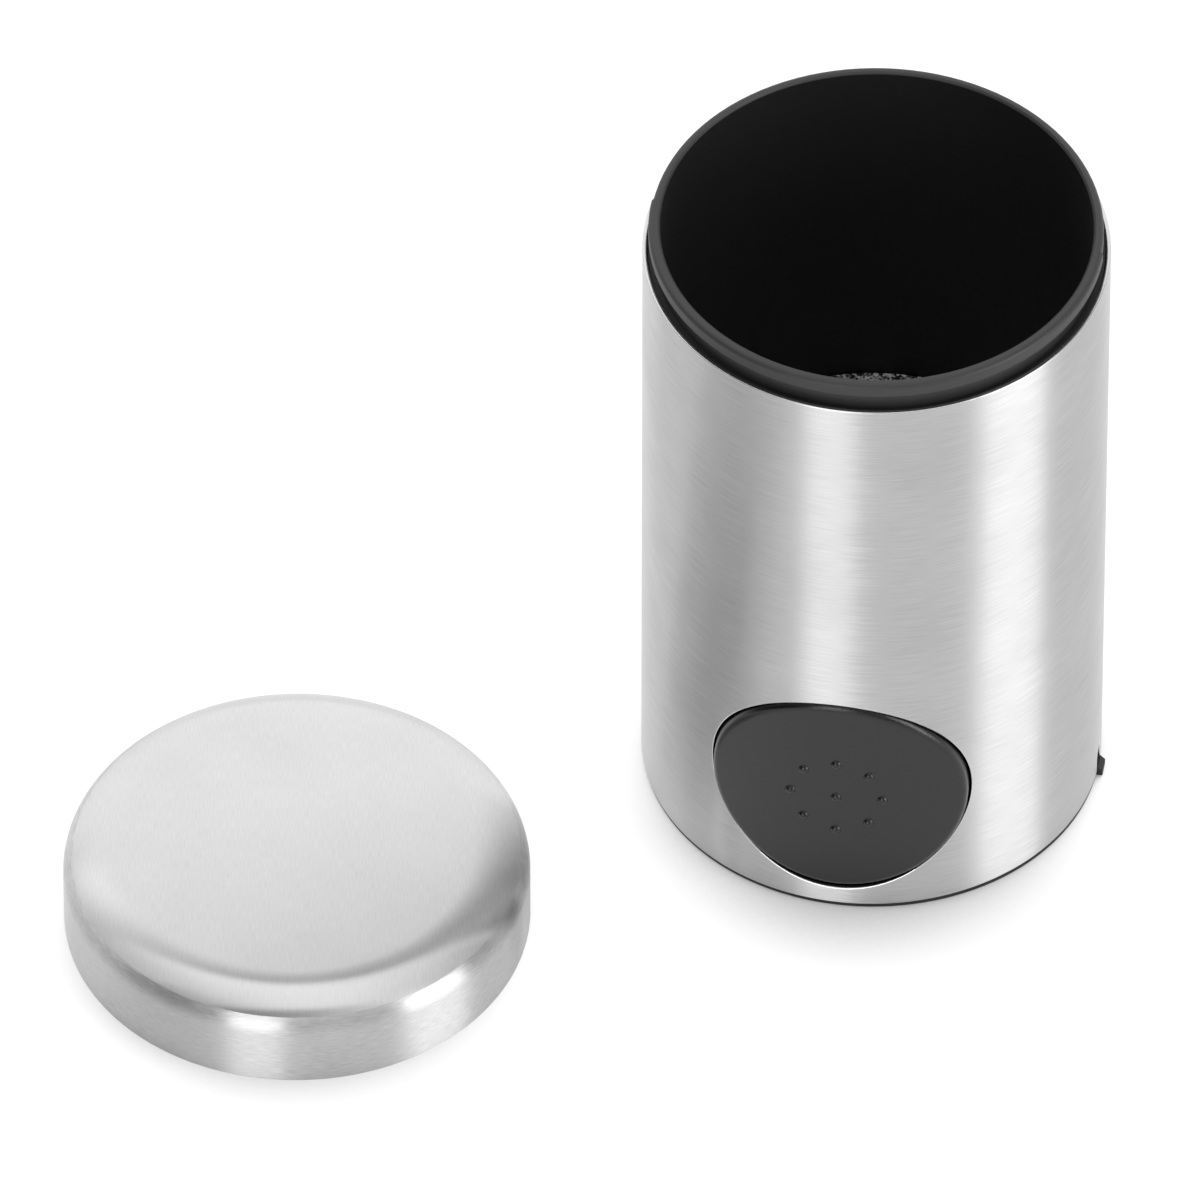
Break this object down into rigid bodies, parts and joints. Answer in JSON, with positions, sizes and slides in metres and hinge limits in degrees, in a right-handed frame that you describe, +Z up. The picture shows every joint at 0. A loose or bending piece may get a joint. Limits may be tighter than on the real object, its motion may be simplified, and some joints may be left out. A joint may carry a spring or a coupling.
{
  "type": "sweetener tablet dispenser",
  "caption": "Steel sleeve over a black tablet hopper, with a round side button that drives a spring-loaded dosing slide to a base outlet, and a drawn steel cap lying beside it.",
  "frame": {"origin": "centre of the base plate's flat underside, where the body stands on the table", "axes": "+Z up the body's axis, the button faces -Y, and the cap lies off towards -X and -Y"},
  "size_m": [0.0862, 0.0685, 0.0633],
  "materials": {
    "sleeve_steel": "stainless steel tube, brushed around its girth, satin",
    "cap_steel": "drawn stainless steel, finely brushed straight across the top and around the skirt",
    "liner_plastic": "moulded black plastic, satin",
    "floor_plastic": "moulded black plastic with a coarse matte texture",
    "inner_plastic": "moulded black plastic, plain",
    "base_plastic": "moulded black plastic, fine matte texture",
    "button_plastic": "moulded charcoal plastic, even satin",
    "spring_steel": "bright drawn spring wire",
    "screw_steel": "bright zinc-plated steel"
  },
  "bodies": {
    "dispenser": {"outer_sleeve": "sleeve_steel", "hopper_liner": "liner_plastic", "feed_floor": "floor_plastic", "slide_track": "inner_plastic", "track_screws": "screw_steel", "base_plate": "base_plastic", "base_screws": "screw_steel", "return_spring": "spring_steel"},
    "button": {"thumb_button": "button_plastic", "dosing_slide": "inner_plastic"},
    "cap": {"lid_cap": "cap_steel"}
  },
  "joints": [
    {"name": "button_press", "type": "slide", "parent": "dispenser", "child": "button", "axis": [0, 1, 0], "range_m": [0, 0.0064], "stiffness_N_per_m": 250, "springref_m": -0.0048, "deforming": ["return_spring"]},
    {"name": "cap_lift", "type": "slide", "parent": "dispenser", "child": "cap", "axis": [0, 0, 1], "range_m": [0, 0.07]}
  ]
}
